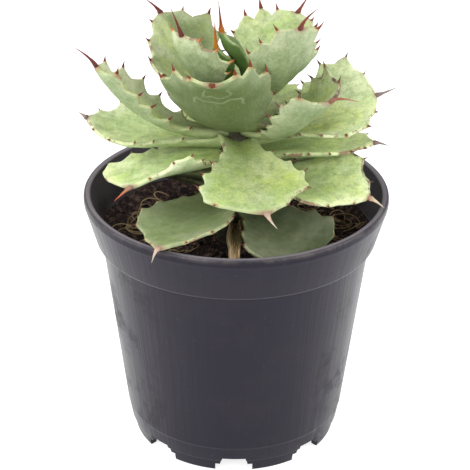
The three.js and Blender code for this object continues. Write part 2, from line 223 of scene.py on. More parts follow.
def tubeAlong(path, radii, sides, flat=1.0):  # points and faces of a closed tube round a path
    path = np.asarray(path)
    radii = np.asarray(radii)
    ahead = np.gradient(path, axis=0)
    ahead /= np.linalg.norm(ahead, axis=1)[:, None]
    side = np.cross(np.array([0.0, 0.0, 1.0]), ahead)
    weak = np.linalg.norm(side, axis=1) < 0.05
    side[weak] = np.cross(np.array([1.0, 0.0, 0.0]), ahead[weak])
    side /= np.linalg.norm(side, axis=1)[:, None]
    up = np.cross(ahead, side)
    turn = turnOf(sides)
    ring = (side[:, None, :] * np.cos(turn)[None, :, None]
            + up[:, None, :] * flat * np.sin(turn)[None, :, None])
    points = path[:, None, :] + ring * radii.reshape(len(path), -1)[:, :, None]
    return points.reshape(-1, 3), tubeFaces(len(path), sides)


def joinShapes(shapes):  # one list of points and faces from several
    points, faces, start = [], [], 0
    for somePoints, someFaces in shapes:
        points.append(somePoints)
        faces.extend(tuple(start + i for i in face) for face in someFaces)
        start += len(somePoints)
    return np.concatenate(points), faces


# camera, floor and light

cameraSetup = {"distance": 0.750, "elevation": 27.56, "roll": 0.54, "aim": (-0.0004, 0.0, 0.0918),
               "lens": 133.1}
studio = {"world": 0.43, "floor": (0.55, 0.55, 0.55), "floorGlow": 0.8, "floorHalf": 4.0,
          "floorHeight": -0.0003, "lampsAim": (0, 0, 0.1)}
lamps = {  # place, size in metres and power in watts
    "frontLeft": ((-0.5, -0.68, 0.6), 0.5, 5.0), "frontRight": ((0.6, -0.6, 0.55), 0.5, 3.6),
    "overhead": ((-0.15, 0.12, 0.95), 0.6, 4.0), "left": ((-0.8, -0.05, 0.5), 0.5, 4.2),
    "right": ((0.8, -0.05, 0.5), 0.5, 3.8)}


def makeCamera():
    rise = math.radians(cameraSetup["elevation"])
    back = Vector((0, -math.cos(rise), math.sin(rise)))
    data = bpy.data.cameras.new("camera")
    data.lens = cameraSetup["lens"]
    data.sensor_width = 36
    camera = bpy.data.objects.new("camera", data)
    camera.location = Vector(cameraSetup["aim"]) + back * cameraSetup["distance"]
    camera.rotation_mode = "QUATERNION"
    turn = Quaternion((0, 0, 1), math.radians(cameraSetup["roll"]))
    camera.rotation_quaternion = (-back).to_track_quat("-Z", "Y") @ turn
    bpy.context.scene.collection.objects.link(camera)
    bpy.context.scene.camera = camera


def makeStudio():
    world = bpy.data.worlds.new("studio")
    world.use_nodes = True
    surround = world.node_tree.nodes["Background"].inputs
    surround["Color"].default_value, surround["Strength"].default_value = (1, 1, 1, 1), studio["world"]
    bpy.context.scene.world = world
    for name, (at, size, power) in lamps.items():
        data = bpy.data.lights.new(name, "AREA")
        data.size, data.energy = size, power
        lamp = bpy.data.objects.new(name, data)
        lamp.location = at
        lamp.rotation_mode = "QUATERNION"
        toward = Vector(studio["lampsAim"]) - Vector(at)
        lamp.rotation_quaternion = toward.to_track_quat("-Z", "Y")
        bpy.context.scene.collection.objects.link(lamp)
    material, _ = newMaterial("paleFloor", Specular_IOR_Level=0.1, Roughness=0.9,
                              Base_Color=(*studio["floor"], 1), Emission_Color=(1, 1, 1, 1),
                              Emission_Strength=studio["floorGlow"])
    side, z = studio["floorHalf"], studio["floorHeight"]
    corners = [(-side, -side, z), (side, -side, z), (side, side, z), (-side, side, z)]
    floor = meshObject("floor", corners, [(0, 1, 2, 3)], material)
    bpy.context.scene.view_settings.view_transform = "Standard"


makeCamera()
makeStudio()
print("camera, floor and light placed")


# leaves

stem = {"bottomRadius": 11.0, "topRadius": 4.5, "bottom": 110.0, "top": 165.0}

# Sizes in mm and shares of the blade's length. A leaf's own base, shoulders, share, taper, toothed or sizes
# stand before these. The margin is closed by steps that shrink where the blade is narrow.
blade = {"base": 0.4, "shoulders": (0.68, 0.68), "share": (1, 1), "bow": 0.36, "taper": 1.12,
         "rootThickness": 5.2, "tipThickness": 2.4, "edge": 1.2, "edgeRound": 0.55, "tipHalfWidth": 1.6,
         "ending": 0.018, "sunk": 0.03, "clasp": 0.45, "claspTo": 0.22, "crease": 0.55, "creaseWidth": 2.6,
         "cupTo": 0.7, "wave": 0.22, "ripple": 0.12, "rows": 130, "inner": 9, "narrow": 5,
         "marginSteps": (2.6, 1.6, 0.9, 0.45, 0.18, 0.0)}
tooth = {"count": 5, "toothed": (0.26, 0.91), "crowding": 0.85, "last": 0.97,
         "sizes": (0.5, 0.75, 1.0, 1.1, 0.8), "sizeScatter": 0.2, "placeScatter": 0.018, "teat": 4.0,
         "teatWidth": 4.0, "halfBase": 4.6, "baseLimits": (0.5, 1.1), "hill": 1.35, "hollow": 1.45,
         "steepest": 1.1, "rise": 0.9, "point": 2.2, "rooted": 0.9, "swerve": 0.8, "radius": 0.8,
         "rings": 8, "sides": 8,
         "outline": ((0, 0.3, 0.6, 1), (0.9, 0.75, 0.38, 0.05))}
spineShape = {"radius": 1.45, "sides": 16, "rings": 26, "groove": 0.3, "knobs": 0.05,
              "outline": ((0, 0.06, 0.2, 0.4, 0.7, 1), (0.92, 0.95, 0.68, 0.46, 0.26, 0.05)),
              "rooted": (-1.6, -0.9, -0.3), "rootedWidth": (0.5, 0.8, 0.93), "start": 0.3,
              "straight": 0.35}

# the horn of spines and teeth, with shares of their length, and its colours at base, middle and point
hornLook = {"flat": 0.82, "grooveWidth": 0.45, "grooveEnd": 0.55, "pointFrom": 0.45, "blend": 0.4,
            "line": (0.08, 0.03, 0.02), "dust": (0.5, 0.42, 0.33)}
horns = {
    "amber": ((0.62, 0.25, 0.02), (0.55, 0.16, 0.02), (0.30, 0.03, 0.01)),
    "flame": ((0.50, 0.17, 0.02), (0.20, 0.035, 0.012), (0.12, 0.016, 0.012)),
    "darkRed": ((0.075, 0.014, 0.008), (0.11, 0.014, 0.008), (0.17, 0.03, 0.016)),
    "redBrown": ((0.10, 0.022, 0.010), (0.17, 0.028, 0.012), (0.13, 0.026, 0.014)),
    "rose": ((0.22, 0.115, 0.07), (0.25, 0.085, 0.05), (0.33, 0.15, 0.09)),
    "pinkTan": ((0.33, 0.22, 0.16), (0.50, 0.37, 0.28), (0.42, 0.36, 0.30)),
    "orangeTip": ((0.30, 0.22, 0.18), (0.42, 0.17, 0.08), (0.50, 0.10, 0.03)),
    "darkBrown": ((0.16, 0.085, 0.05), (0.12, 0.05, 0.03), (0.07, 0.035, 0.025)),
    "orangeFoot": ((0.60, 0.33, 0.08), (0.42, 0.12, 0.03), (0.22, 0.04, 0.02)),
    "cream": ((0.36, 0.20, 0.12), (0.62, 0.52, 0.36), (0.60, 0.50, 0.38)),
    "grey": ((0.18, 0.13, 0.11), (0.26, 0.21, 0.19), (0.20, 0.17, 0.16)),
}

# Each leaf from the lowest to the highest. In pairs, the first value is for the right side, seen from the
# stem towards the tip, or for the root, and the second for the left side or the tip.
# azimuth, reach, tip: the tip's direction, distance from the axis and height; foot: the root's height
# lean, tilt: the midrib's pitch at root and tip; turn, veer: the root's and the tip's turn to the side
# width, share, base, shoulders, taper: the outline, as parts of the width and of the length
# cup: half angle of the trough at root and tip; fold: its gain at the tip on each side; roll: twist
# teat, toothed, sizes: the teeth's feet, where they stand and how big each is
# spine: length, azimuth and pitch; horn, teeth: the colours of the spine and of the teeth
# paintedShade: painted shade above 0 and painted sunlight below 0; haze, lush: grey wax and a deep green on
# each side, the green partly painted shade
# scar: where a dry left margin begins; print: strength of the lines pressed in while in bud
leaves = [
    dict(azimuth=-55.5, reach=53, tip=100, foot=107, lean=0, tilt=-16, width=45, cup=(55, 10), teat=0.45,
         spine=(4, -56, 10), horn="grey", paintedShade=0.9),
    dict(azimuth=121, reach=52, tip=103, foot=108.5, lean=5, tilt=-12, width=41, base=0.36, cup=(45, 8),
         teat=0.4, spine=(5, 120, 15), horn="grey", paintedShade=0.5),
    dict(azimuth=-117.5, reach=66.5, tip=116.3, foot=112.5, lean=8, tilt=0, width=41, share=(1, 1.1),
         roll=12, cup=(55, 8), teat=0.45, spine=(6.5, -115, -35), horn="pinkTan", paintedShade=0.55),
    dict(azimuth=65, reach=53, tip=107, foot=113, lean=5, tilt=-12, width=41, base=0.36, cup=(45, 8),
         teat=0.4, spine=(6, 66, 15), horn="grey", paintedShade=0.4),
    dict(azimuth=-27, reach=61, tip=124, foot=117.5, lean=15, tilt=-12, width=46, base=0.34, roll=8,
         cup=(45, 10), teat=0.5, spine=(8.5, -49, -9), horn="cream", paintedShade=-0.42, haze=(0.5, 0.6),
         scar=0.55),
    dict(azimuth=155, reach=54, tip=112, foot=118.5, lean=5, tilt=-15, width=42, base=0.36, cup=(45, 5),
         teat=0.4, spine=(6, 158, 5), horn="grey", paintedShade=0.3),
    dict(azimuth=35, reach=58, tip=120, foot=121.5, lean=5, tilt=-8, width=42, base=0.3, cup=(45, 10),
         teat=0.5, spine=(7, 35, 0), horn="grey", paintedShade=0.2),
    dict(azimuth=98, reach=57, tip=115, foot=124, lean=3, tilt=-12, width=42, base=0.3, cup=(40, 2),
         teat=0.5, spine=(6, 98, 6), horn="pinkTan", paintedShade=0.2),
    dict(azimuth=-2, reach=57.5, tip=137, foot=129.5, lean=12, tilt=5, width=44, share=(0.6, 1),
         base=0.36, roll=-4, cup=(50, 5), teat=0.6, spine=(6, -20, -4), horn="grey", paintedShade=-0.45,
         haze=(0.55, 0.55)),
    # its haze is raised as painted light, to make this leaf paler where it lies in the shade of the leaves
    # above
    dict(azimuth=-147, reach=51.5, tip=128, foot=131.4, lean=2, tilt=-8, turn=-8, veer=20, width=51,
         share=(1, 1.15), base=0.36, roll=22, shoulders=(0.85, 0.66), fold=(0.4, 1.8), cup=(12, 25),
         teat=0.6, spine=(9.6, -131, -17), horn="orangeTip", paintedShade=-0.55, haze=(0.65, 0.5)),
    dict(azimuth=126, reach=56, tip=128, foot=130, lean=2, tilt=-5, width=41, base=0.28, cup=(40, 5),
         teat=0.6, spine=(8, 126, 0), horn="pinkTan", paintedShade=0.1),
    dict(azimuth=70, reach=56, tip=141, foot=134.9, lean=10, tilt=2, width=42, base=0.28, cup=(45, 20),
         teat=0.7, spine=(8, 70, 10), horn="rose", paintedShade=0.0),
    dict(azimuth=177, reach=63, tip=145, foot=136.3, lean=2, tilt=30, width=42, base=0.28, roll=-5,
         cup=(50, 20), teat=0.5, spine=(5, 135, 10), horn="grey", paintedShade=-0.25, haze=(0.45, 0.45)),
    dict(azimuth=-78, reach=58, tip=131, foot=137, lean=0, tilt=-14, width=45, share=(1.08, 0.86),
         base=0.33, shoulders=(0.86, 0.74), cup=(45, 8), teat=0.5, spine=(10, -66, -11), horn="pinkTan",
         paintedShade=-0.14, lushAndShade=(0.22, 0.22), haze=(0.05, 0.12)),
    dict(azimuth=4, reach=58, tip=156, foot=137.8, lean=9, tilt=15, width=46, share=(1, 0.93), base=0.29,
         roll=26, shoulders=(0.68, 0.8), cup=(38, 20), teat=0.85, toothed=(0.35, 0.96),
         spine=(9.5, -14, 28), horn="grey", paintedShade=-0.35, haze=(0.5, 0.35), taper=1.6),
    dict(azimuth=-160, reach=60, tip=178, foot=142, lean=4, tilt=60, width=32, share=(0.86, 0.7),
         base=0.26, roll=-12, shoulders=(0.68, 0.88), fold=(0.8, 1.35), cup=(50, 58), teat=0.9,
         sizes=(0.5, 0.8, 1.1, 1.3, 1.2), spine=(12.4, -160, 45), horn="darkRed", teeth="darkRed",
         paintedShade=-0.05, haze=(0.9, 0.0)),
    dict(azimuth=-38, reach=47, tip=167, foot=143.5, lean=-3, tilt=45, width=46, share=(0.68, 1.12),
         base=0.24, shoulders=(0.86, 0.78), fold=(1.15, 0.65), cup=(36, 82), teat=0.9,
         sizes=(0.5, 0.7, 1, 1.1, 1.4), spine=(12, -22, 8), horn="rose", paintedShade=0.08, haze=(0.35, 0.35),
         scar=0.6),
    dict(azimuth=92, reach=44, tip=157, foot=146, lean=10, tilt=30, width=38, base=0.34, cup=(60, 40),
         teat=0.9, spine=(9, 92, 40), horn="redBrown", paintedShade=0.0),
    dict(azimuth=-103, reach=43.5, tip=179, foot=147.3, lean=4, tilt=22, turn=-6, width=49,
         share=(0.9, 0.88), base=0.55, roll=4, shoulders=(0.66, 0.62), fold=(0.68, 1.25), cup=(5, 72),
         teat=1.05, toothed=(0.3, 0.92), sizes=(0.5, 0.8, 1.1, 1.2, 1.1), spine=(7, -95, 27),
         horn="redBrown", teeth="redBrown", paintedShade=0.18, lushAndShade=(1, 1), haze=(0, 0), print=1.0),
    dict(azimuth=144, reach=40, tip=184, foot=152, lean=25, tilt=50, width=46, share=(0.8, 1.25),
         base=0.28, shoulders=(0.74, 0.5), fold=(1.2, 0.3), cup=(42, 26), teat=1, spine=(9.2, 164, 38),
         horn="darkRed", teeth="darkRed", paintedShade=0.2, lushAndShade=(0.8, 0), haze=(0.05, 0.5)),
    dict(azimuth=-42, reach=33, tip=195, foot=155, lean=30, tilt=72, width=36, share=(0.7, 1.1), base=0.3,
         roll=-20, shoulders=(0.72, 0.45), fold=(1.7, 0.1), cup=(75, 28), teat=1, toothed=(0.3, 0.9),
         sizes=(0.35, 0.75, 1.1, 0.9, 1.2), spine=(12.8, -30, 51), horn="redBrown", teeth="redBrown",
         paintedShade=0.04, haze=(0.4, 0.4)),
    dict(azimuth=-138, reach=30, tip=191, foot=156, lean=35, tilt=70, width=34, share=(0.86, 0.7),
         base=0.3, roll=8, cup=(75, 50), teat=1, spine=(13.5, -144, 68), horn="darkRed",
         teeth="orangeFoot", paintedShade=-0.25, haze=(0.42, 0.42)),
    dict(azimuth=50, reach=39, tip=182, foot=158, lean=30, tilt=45, width=44, share=(0.84, 0.85),
         base=0.28, shoulders=(0.74, 0.58), cup=(80, 35), teat=1, toothed=(0.3, 0.92),
         sizes=(0.5, 0.8, 1.3, 1.5, 0.9), spine=(9.3, 31, 51), horn="redBrown", teeth="redBrown", paintedShade=0,
         haze=(0.3, 0.3)),
    dict(azimuth=-150, reach=10, tip=180, foot=161.5, lean=80, tilt=80, width=14, cup=(80, 80), teat=0,
         spine=(12, -160, 87), horn="amber", paintedShade=0.5),
    dict(azimuth=-145, reach=8, tip=187, foot=164, lean=80, tilt=80, turn=120, veer=20, width=14,
         cup=(80, 80), teat=0, spine=(13, 180, 84), horn="flame", paintedShade=0.55),
]


def scatter(a, b):  # a repeatable scatter between -1 and 1
    x = math.sin(a * 12.9898 + b * 78.233) * 43758.5453
    return 2 * (x - math.floor(x)) - 1


def mix(a, b, t):
    return a + (b - a) * t


def unit(value):
    return np.clip(value, 0, 1)


def polar(r, azimuth, z):
    return np.array([r * math.cos(math.radians(azimuth)), r * math.sin(math.radians(azimuth)), z])


def heading(pitch, azimuth):
    return polar(math.cos(math.radians(pitch)), azimuth, math.sin(math.radians(pitch)))


def stemRadiusAt(z):
    share = (z - stem["bottom"]) / (stem["top"] - stem["bottom"])
    return mix(stem["bottomRadius"], stem["topRadius"], share)


def halfWidthOf(leaf, s, side=0):  # side is -1 or 1, or 0 for the mean of both
    half, widest = leaf["width"] / 2, sum(leaf.get("shoulders", blade["shoulders"])) / 2
    if side:
        half *= leaf.get("share", blade["share"])[int(side > 0)]
        widest = leaf.get("shoulders", blade["shoulders"])[int(side > 0)]
    rising = unit(s / widest)
    rising = rising * rising * (3 - 2 * rising)
    falling = unit((s - widest) / (1 - widest)) ** leaf.get("taper", blade["taper"])
    tip = min(blade["tipHalfWidth"], half)
    return np.where(s < widest, half * mix(leaf.get("base", blade["base"]), 1, rising),
                    mix(tip, half, unit(1 - falling) ** 0.95))


class Midrib:  # a cubic curve from the stem to the leaf's tip
    def __init__(self, leaf):
        root = leaf["azimuth"] + leaf.get("turn", 0)
        start = polar(stemRadiusAt(leaf["foot"]), root, leaf["foot"])
        end = polar(leaf["reach"], leaf["azimuth"], leaf["tip"])
        pull = np.linalg.norm(end - start) * blade["bow"]
        arrive = heading(leaf["tilt"], leaf["azimuth"] + leaf.get("veer", 0))
        self.knots = [start, start + heading(leaf["lean"], root) * pull, end - arrive * pull, end]
        steps = self.at(np.linspace(0, 1, 200))
        self.length = np.linalg.norm(np.diff(steps, axis=0), axis=1).sum()

    def at(self, s):
        s = np.asarray(s, float)[..., None]
        a, b, c, d = self.knots
        return (1 - s) ** 3 * a + 3 * s * (1 - s) ** 2 * b + 3 * s * s * (1 - s) * c + s ** 3 * d

    def along(self, s):
        s = np.asarray(s, float)[..., None]
        a, b, c, d = self.knots
        slope = (1 - s) ** 2 * (b - a) + 2 * s * (1 - s) * (c - b) + s * s * (d - c)
        return slope / np.linalg.norm(slope, axis=-1, keepdims=True)


# Points at share s of the length, q to the side along the trough and lift above the middle surface.
def surfacePoints(leaf, midrib, s, q, lift):
    along = midrib.along(s)
    side = np.cross(np.array([0.0, 0.0, 1.0]), along)
    side /= np.linalg.norm(side, axis=-1, keepdims=True)
    roll = np.radians(leaf.get("roll", 0) * s)[..., None]
    side = side * np.cos(roll) + np.cross(along, side) * np.sin(roll)
    up = np.cross(along, side)
    fold = leaf.get("fold", (1, 1))
    fold = mix(1, np.where(q < 0, fold[0], fold[1]), s)
    bend = fold * np.radians(mix(*leaf["cup"], s)) / halfWidthOf(leaf, np.minimum(s, blade["cupTo"]))
    angle = bend * q
    return (midrib.at(s) + side * (np.sin(angle) / bend - lift * np.sin(angle))[..., None]
            + up * ((1 - np.cos(angle)) / bend + lift * np.cos(angle))[..., None])


# Place, half base, size and lean (ahead and out) of each tooth of one side.
def teethOf(leaf, index, side, length):
    found = []
    for i in range(tooth["count"] if leaf["teat"] else 0):
        varied = 1 + tooth["sizeScatter"] * scatter(index + 3 * side, i)
        size = leaf["teat"] * leaf.get("sizes", tooth["sizes"])[i] * varied
        smallest, largest = tooth["baseLimits"]
        half = tooth["halfBase"] * min(max(size, smallest), largest) / length
        even = mix(*leaf.get("toothed", tooth["toothed"]), (i / (tooth["count"] - 1)) ** tooth["crowding"])
        at = even + tooth["placeScatter"] * scatter(index + 7 * side, i + 11)
        at = min(at, tooth["last"] - half * 0.6)
        before, after = halfWidthOf(leaf, np.array([at - 0.01, at + 0.01]), side)
        slope = (after - before) / (0.02 * length)
        out = 1 / math.hypot(1, slope)
        found.append((at, half, size, (min(-slope, tooth["steepest"]) * out / length, out)))
    return found


def swellOf(teeth, s):  # how far the teats push the margin out and ahead, and how much of one stands there
    out, ahead, share = np.zeros_like(s), np.zeros_like(s), np.zeros_like(s)
    for at, half, size, lean in teeth:
        hill = unit(1 - np.abs(s - at) / (tooth["hill"] * half)) ** tooth["hollow"]
        higher = hill > share
        out = np.where(higher, tooth["teat"] * size * hill * lean[1], out)
        ahead = np.where(higher, tooth["teat"] * size * hill * lean[0], ahead)
        share = np.where(higher, hill, share)
    return out, ahead, share


def rowsOf(leaf, index, length):  # denser rows where the teeth stand
    places = list(np.linspace(-blade["sunk"], 1, blade["rows"]))
    for side in (-1, 1):
        places += [at for at, half, size, lean in teethOf(leaf, index, side, length)]
    return np.unique(np.round(places, 4))


# Across the blade, row by row: distance from the midrib and from the margin, share of a teat, shift ahead.
def acrossOf(leaf, index, length, s, clasp, ending):
    both = []
    for side in (-1, 1):
        reach, ahead, share = swellOf(teethOf(leaf, index, side, length), s)
        full = (halfWidthOf(leaf, s, side) * clasp + reach) * ending
        shrink = np.minimum(1, full / blade["narrow"])
        inner = full - blade["marginSteps"][0] * shrink
        columns = [inner * k / blade["inner"] for k in range(blade["inner"])]
        columns += [full - step * shrink for step in blade["marginSteps"]]
        q, full = np.stack(columns, 1), full[:, None]
        teat = share[:, None] * unit(1 - (full - q) / tooth["teatWidth"])
        order = slice(None, 0, -1) if side < 0 else slice(None)
        shift = ahead[:, None] * (q / full) ** 3
        both.append([part[:, order] for part in (side * q, full - q, teat, shift)])
    return [np.hstack(parts) for parts in zip(*both)]


def bladeFaces(rows, columns):  # an upper and a lower sheet that share the margin, closed at both ends
    top = np.arange(rows * columns).reshape(rows, columns)
    under = top.copy()
    under[:, 1:-1] = rows * columns + np.arange(rows * (columns - 2)).reshape(rows, columns - 2)
    faces = []
    for i in range(rows - 1):
        for j in range(columns - 1):
            faces.append((top[i, j], top[i + 1, j], top[i + 1, j + 1], top[i, j + 1]))
            faces.append((under[i, j], under[i, j + 1], under[i + 1, j + 1], under[i + 1, j]))
    for i in (0, rows - 1):
        faces.append(tuple(top[i]) + tuple(under[i, 1:-1][::-1]))
    return [tuple(int(v) for v in face) for face in faces]


def leafMesh(name, leaf, index, material):
    midrib = Midrib(leaf)
    length = midrib.length
    s = rowsOf(leaf, index, length)
    ending = np.sqrt(np.clip(1 - (unit(s - 1 + blade["ending"]) / blade["ending"]) ** 2, 0.0004, 1))
    clasp = 1 + blade["clasp"] * unit(1 - s / blade["claspTo"]) ** 2  # the root widens round the stem
    q, gap, teat, ahead = acrossOf(leaf, index, length, s, clasp, ending)
    s = np.repeat(s[:, None], q.shape[1], 1)
    base = np.where(q < 0, halfWidthOf(leaf, s, -1), halfWidthOf(leaf, s, 1)) * clasp[:, None]
    middle = mix(blade["rootThickness"], blade["tipThickness"], s)
    thick = mix(blade["edge"], middle, (1 - unit(np.abs(q) / base) ** 2) ** 0.8)
    thick = thick * ending[:, None] + 0.5 * teat
    thick *= np.sqrt(unit(1 - (1 - unit(gap / blade["edgeRound"])) ** 2))
    # low waves that die out at the root and at the tip
    wave = (blade["wave"] * np.sin(s * 9 + index) * np.sin(q * 0.33 + index * 2.1)
            + blade["ripple"] * np.sin(q * 0.9 + s * 23)) * unit(s * 4) * unit((1 - s) * 8)
    crease = blade["crease"] * unit(1.05 - s) ** 0.4
    lift = (tooth["rise"] * leaf["teat"] * teat + wave
            - crease * np.exp(-np.abs(q) / blade["creaseWidth"]))
    upper = surfacePoints(leaf, midrib, s + ahead, q, lift + 0.5 * thick)
    lower = surfacePoints(leaf, midrib, s + ahead, q, lift - 0.5 * thick)
    points = np.concatenate([upper.reshape(-1, 3), lower[:, 1:-1].reshape(-1, 3)]) * mm

    def listed(grid):  # a value for each point of the upper sheet, then of the lower
        return np.concatenate([grid.ravel(), grid[:, 1:-1].ravel()])

    rows, columns = q.shape
    sideways = listed(q)
    readings = {
        "along": listed(s), "edgeGap": listed(gap), "teat": listed(teat), "sideways": sideways,
        "outer": np.concatenate([np.where(gap <= 0, 0.5, 0).ravel(), np.ones(rows * (columns - 2))]),
        "toTip": listed((1 - s) * length), "scar": listed(scarOf(leaf, s, q, gap)),
        "lushAndShade": sidesOf(leaf.get("lushAndShade", leafFinish["usualLush"]), sideways),
        "haze": sidesOf(leaf.get("haze", leafFinish["usualHaze"]), sideways),
        "paintedShade": np.full(len(points), leaf["paintedShade"]),
        "print": np.full(len(points), leaf.get("print", leafFinish["usualPrint"])),
        "young": np.full(len(points), float(leaf["teat"] == 0)),
    }
    metric = np.stack([listed(s) * length, sideways], 1) * mm
    return meshObject(name, points, bladeFaces(rows, columns), material, readings, metric)


def sidesOf(pair, q):  # one value on the right side and one on the left, meeting at the midrib
    return mix(*pair, unit(0.5 + q / 4))


def scarOf(leaf, s, q, gap):  # a dry left margin, from a share of the length on
    return unit(1 - gap / leafFinish["scarWidth"]) * (q > 0) * unit((s - leaf.get("scar", 2)) * 6)


def paintHorn(piece, name, shares):
    base, middle, point = (np.array(c) for c in horns[name])
    shares = shares[:, None]
    colours = mix(base, middle, unit(shares / hornLook["blend"]))
    colours = mix(colours, point, unit((shares - hornLook["pointFrom"]) / hornLook["blend"]))
    layer = piece.data.color_attributes.new("horn", "FLOAT_COLOR", "POINT")
    filled = np.ones((len(colours), 4), np.float32)
    filled[:, :3] = colours
    layer.data.foreach_set("color", filled.ravel())


def hornTube(path, radius, sides, shares, groove=0.0):  # flattened, with a groove above that runs out
    hollow = np.exp(-((turnOf(sides) - math.pi / 2) / hornLook["grooveWidth"]) ** 2)[None, :]
    radii = radius[:, None] * (1 - groove * hollow * unit(1 - shares / hornLook["grooveEnd"])[:, None])
    return tubeAlong(path, radii, sides, flat=hornLook["flat"])


def spineMesh(name, leaf, index, material):
    midrib, sides = Midrib(leaf), spineShape["sides"]
    length, azimuth, pitch = leaf["spine"]
    along = midrib.along(1.0)
    start = midrib.at(1.0) + along * spineShape["start"]
    end = start + heading(pitch, azimuth) * length
    bend = start + along * length * spineShape["straight"]
    t = np.linspace(0, 1, spineShape["rings"])
    shares = np.concatenate([[0, 0, 0], t])
    t = t[:, None]
    curve = (1 - t) ** 2 * start + 2 * t * (1 - t) * bend + t ** 2 * end
    path = np.concatenate([np.array(spineShape["rooted"])[:, None] * along + start, curve])
    width = spineShape["radius"] * np.interp(shares, *spineShape["outline"])
    width[:3] = np.array(spineShape["rootedWidth"]) * spineShape["radius"]
    width *= 1 + spineShape["knobs"] * np.sin(shares * 19 + index)
    points, faces = hornTube(path, width, sides, shares, spineShape["groove"])
    shares = np.repeat(shares, sides)
    around = np.tile(np.arange(sides), len(path)) * 0.5
    piece = meshObject(name, points * mm, faces, material, {"along": shares},
                       np.stack([shares * length, around], 1) * mm)
    paintHorn(piece, leaf["horn"], shares)
    return piece


def teethMesh(name, leaf, index, material):
    midrib, sides = Midrib(leaf), tooth["sides"]
    shapes, shares = [], []
    t = np.linspace(0, 1, tooth["rings"])
    for side in (-1, 1):
        for k, (at, half, size, lean) in enumerate(teethOf(leaf, index, side, midrib.length)):
            q = float(halfWidthOf(leaf, np.array(at), side))
            point = tooth["point"] * (0.6 + 0.6 * size)
            reach = tooth["teat"] * size + mix(-tooth["rooted"], point, t)
            swerve = tooth["swerve"] * scatter(index + 5 * side, k) * size / midrib.length
            places = surfacePoints(leaf, midrib, at + lean[0] * reach + swerve * t ** 2,
                                   side * (q + lean[1] * reach),
                                   tooth["rise"] * size * (1 + 0.9 * t ** 2))
            radius = tooth["radius"] * (0.55 + 0.45 * size) * np.interp(t, *tooth["outline"])
            shapes.append(hornTube(places, radius, sides, t))
            shares.append(np.repeat(t, sides))
    points, faces = joinShapes(shapes)
    along = np.concatenate(shares)
    piece = meshObject(name, points * mm, faces, material, {"along": along},
                       np.stack([along * 3, along * 0], 1) * mm)
    paintHorn(piece, leaf.get("teeth", "darkBrown"), along * 0.9 + 0.05)
    return piece


# colours of the skin, where shade is painted shade and root and lush are partly painted shade; the usual
# readings of a leaf that names none; mm for the scar and the pressed lines
leafFinish = {
    "innerGreen": (0.27, 0.372, 0.12), "innerYellow": (0.385, 0.465, 0.11), "innerDeep": (0.12, 0.18, 0.05),
    "outerGreen": (0.175, 0.24, 0.09), "outerBlue": (0.29, 0.36, 0.21), "root": (0.21, 0.28, 0.075),
    "bloom": (0.56, 0.59, 0.40), "margin": (0.45, 0.50, 0.25), "shade": (0.08, 0.10, 0.05),
    "lushAndShade": (0.07, 0.105, 0.022), "young": (0.11, 0.19, 0.055), "dry": (0.24, 0.15, 0.09),
    "toothFoot": (0.30, 0.15, 0.06), "dusty": (0.235, 0.26, 0.165), "scar": (0.12, 0.068, 0.055),
    "print": (0.46, 0.53, 0.33), "usualLush": (0, 0), "usualHaze": (0.12, 0.12), "usualPrint": 0.15,
    "scarWidth": 2.6,
    "budLines": {"near": (13.0, 4.6, -6.5), "far": (16.5, 9.2, 3.6), "width": 0.8, "soft": 0.4,
                 "scallop": 0.4, "scallopPitch": 0.9, "wander": 4.0, "wanderScale": 150.0},
}


def awayFrom(value, middle):  # distance of a value from a middle
    return calc("ABSOLUTE", minus(value, middle))


def budPrint(tree, where):  # pale lines that a neighbour's toothed margin pressed in while in bud
    look = leafFinish["budLines"]
    toTip, sideways = reading(tree, "toTip"), reading(tree, "sideways")
    wide, thick, soft = calc("ABSOLUTE", sideways), look["width"], look["soft"]
    wander = minus(cloud(where, look["wanderScale"], 2.0), 0.5)
    wander = times(wander, look["wander"])
    scallop = calc("SINE", times(sideways, look["scallopPitch"]))
    depth = minus(toTip, times(scallop, look["scallop"]))
    depth = plus(depth, wander)
    lines = 0.0
    for fromTip, halfWidth, leg in (look["near"], look["far"]):
        bar = times(span(awayFrom(depth, fromTip), thick, 0.1),
                    span(wide, halfWidth + soft, halfWidth - soft))
        reach = abs(leg) / 2
        legLine = times(span(awayFrom(plus(wide, wander), halfWidth), thick, 0.1),
                        span(awayFrom(depth, fromTip + leg / 2), reach + 0.3, reach - 0.7))
        lines = calc("MAXIMUM", calc("MAXIMUM", bar, legLine), lines)
    return times(lines, reading(tree, "print"))


